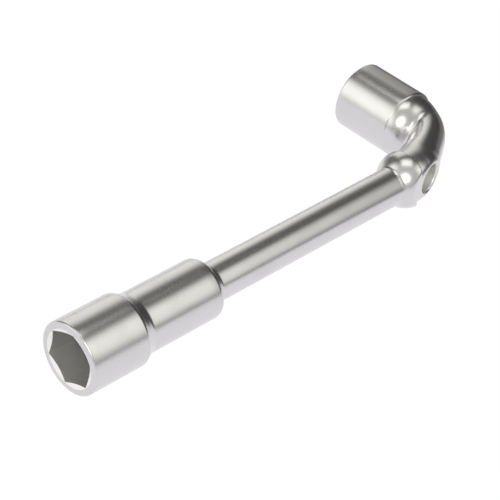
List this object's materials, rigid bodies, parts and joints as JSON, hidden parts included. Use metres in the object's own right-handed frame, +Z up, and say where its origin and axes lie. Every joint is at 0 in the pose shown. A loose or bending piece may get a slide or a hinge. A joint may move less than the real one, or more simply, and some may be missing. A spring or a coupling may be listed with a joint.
{
  "type": "angled socket wrench",
  "caption": "L-shaped socket wrench: long shank with a deep hexagon socket, a cranked elbow with a cross hole for a bar, and a short hexagon socket square to the shank.",
  "frame": {"origin": "under the middle of the wrench's outline, on the surface that it lies on", "axes": "+X along the shank from the long socket to the elbow, +Y the way the short socket points, +Z up from the surface"},
  "size_m": [0.2084, 0.064, 0.0275],
  "materials": {
    "satin_chrome": "satin chrome plate over forged steel"
  },
  "bodies": {
    "root": {"long_socket": "satin_chrome", "long_collar": "satin_chrome", "shank": "satin_chrome", "bar_boss": "satin_chrome", "neck": "satin_chrome", "short_socket": "satin_chrome"}
  },
  "joints": []
}
